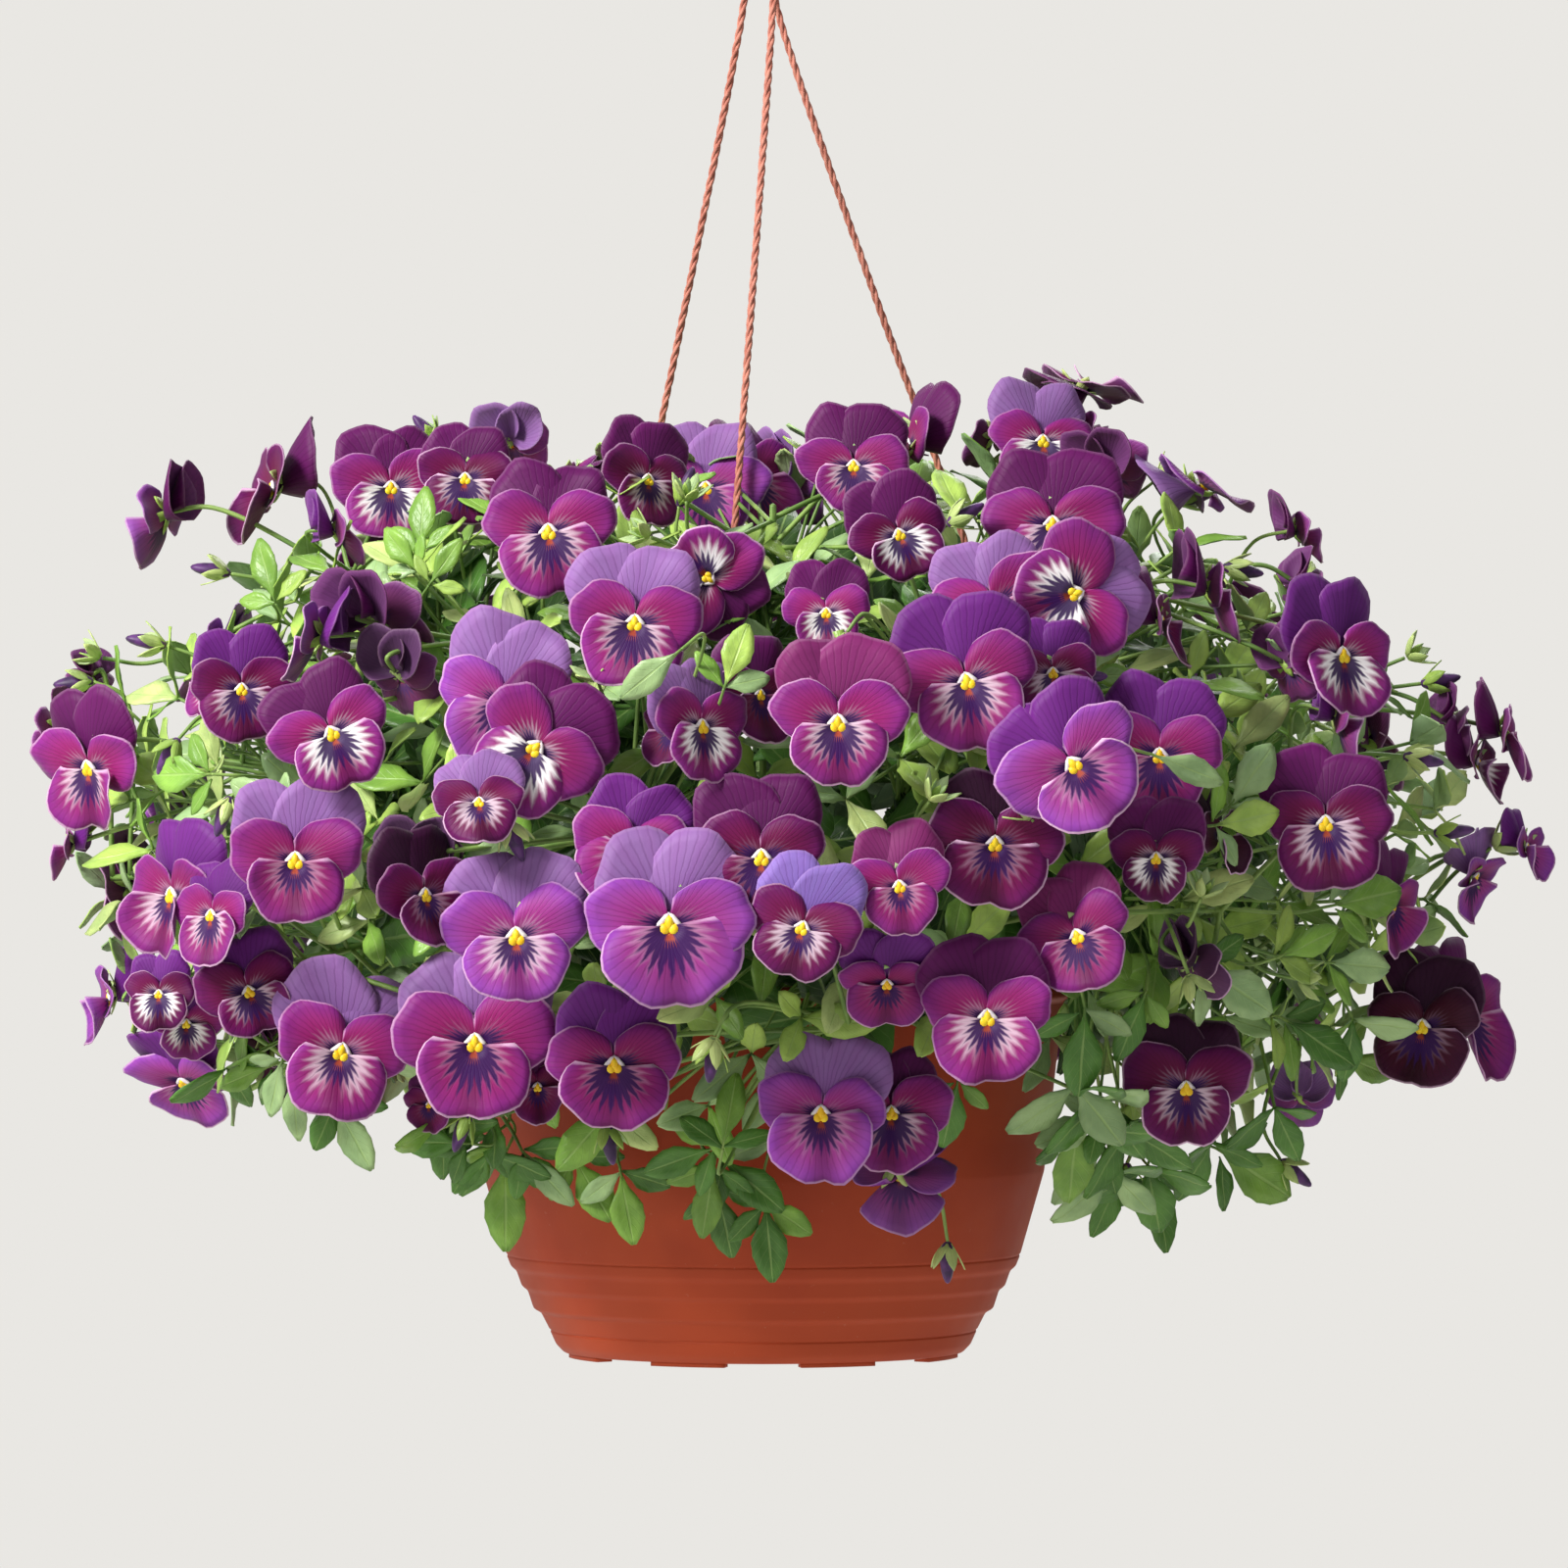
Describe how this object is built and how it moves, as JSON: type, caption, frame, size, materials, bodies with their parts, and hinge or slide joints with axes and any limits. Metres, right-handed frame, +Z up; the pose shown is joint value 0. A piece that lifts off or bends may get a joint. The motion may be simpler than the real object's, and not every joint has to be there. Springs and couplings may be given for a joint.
{
  "type": "hanging pansy planter",
  "caption": "Round terracotta-coloured plastic hanging pot on three twisted ropes under a hook, filled with soil and a trailing mound of purple pansies and green leaves.",
  "frame": {"origin": "the point inside the hanger hook where it hangs on its support", "axes": "+Z up, -Y toward the viewer of the picture, +X to the viewer's right"},
  "size_m": [0.6114, 0.5173, 0.6306],
  "materials": {
    "pot": "satin",
    "soil": "matte",
    "hook": "satin",
    "rope": "matte",
    "leaf": "matte",
    "petal": "matte"
  },
  "bodies": {
    "root": {"hanging_pot": "pot", "soil": "soil", "hanger_hook": "hook", "rope_front": "rope", "rope_rear_left": "rope", "rope_rear_right": "rope", "leafy_shoot_01": "leaf", "viola_bunch_01": "petal", "leafy_shoot_02": "leaf", "viola_bunch_02": "petal", "leafy_shoot_03": "leaf", "viola_bunch_03": "petal", "leafy_shoot_04": "leaf", "viola_bunch_04": "petal", "leafy_shoot_05": "leaf", "viola_bunch_05": "petal", "leafy_shoot_06": "leaf", "viola_bunch_06": "petal", "leafy_shoot_07": "leaf", "viola_bunch_07": "petal", "leafy_shoot_08": "leaf", "viola_bunch_08": "petal", "leafy_shoot_09": "leaf", "viola_bunch_09": "petal", "leafy_shoot_10": "leaf", "viola_bunch_10": "petal", "leafy_shoot_11": "leaf", "viola_bunch_11": "petal", "leafy_shoot_12": "leaf", "viola_bunch_12": "petal", "leafy_shoot_13": "leaf", "viola_bunch_13": "petal", "leafy_shoot_14": "leaf", "viola_bunch_14": "petal", "leafy_shoot_15": "leaf", "viola_bunch_15": "petal", "leafy_shoot_16": "leaf", "viola_bunch_16": "petal", "leafy_shoot_17": "leaf", "viola_bunch_17": "petal", "leafy_shoot_18": "leaf", "viola_bunch_18": "petal", "leafy_shoot_19": "leaf", "viola_bunch_19": "petal", "leafy_shoot_20": "leaf", "viola_bunch_20": "petal", "leafy_shoot_21": "leaf", "viola_bunch_21": "petal", "leafy_shoot_22": "leaf", "viola_bunch_22": "petal", "leafy_shoot_23": "leaf", "viola_bunch_23": "petal", "leafy_shoot_24": "leaf", "viola_bunch_24": "petal"}
  },
  "joints": []
}
